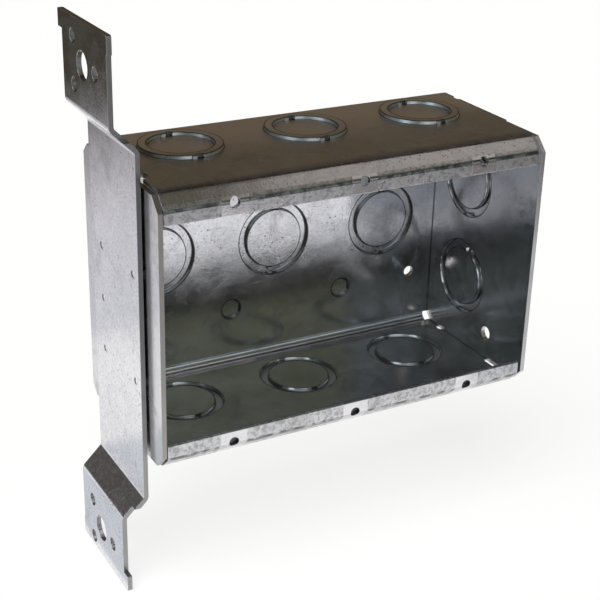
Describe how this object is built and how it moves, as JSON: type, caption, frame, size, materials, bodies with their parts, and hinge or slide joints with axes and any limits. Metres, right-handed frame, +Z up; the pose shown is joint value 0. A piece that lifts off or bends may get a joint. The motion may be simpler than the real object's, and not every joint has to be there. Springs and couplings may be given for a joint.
{
  "type": "switch box",
  "caption": "Open-front folded steel switch box for a row of devices, with lips, concentric knockouts and a side bracket with offset ears for a stud.",
  "frame": {"origin": "middle of the device screw pattern, on the front plane of the lips", "axes": "+X along the row of devices away from the bracket, +Y from the open front to the back, +Z up"},
  "size_m": [0.1534, 0.0648, 0.1894],
  "materials": {
    "box_steel": "galvanised, semi-bright",
    "bracket_steel": "galvanised, satin"
  },
  "bodies": {
    "root": {"wrap": "box_steel", "left_end_plate": "box_steel", "right_end_plate": "box_steel", "side_bracket": "bracket_steel"}
  },
  "joints": []
}
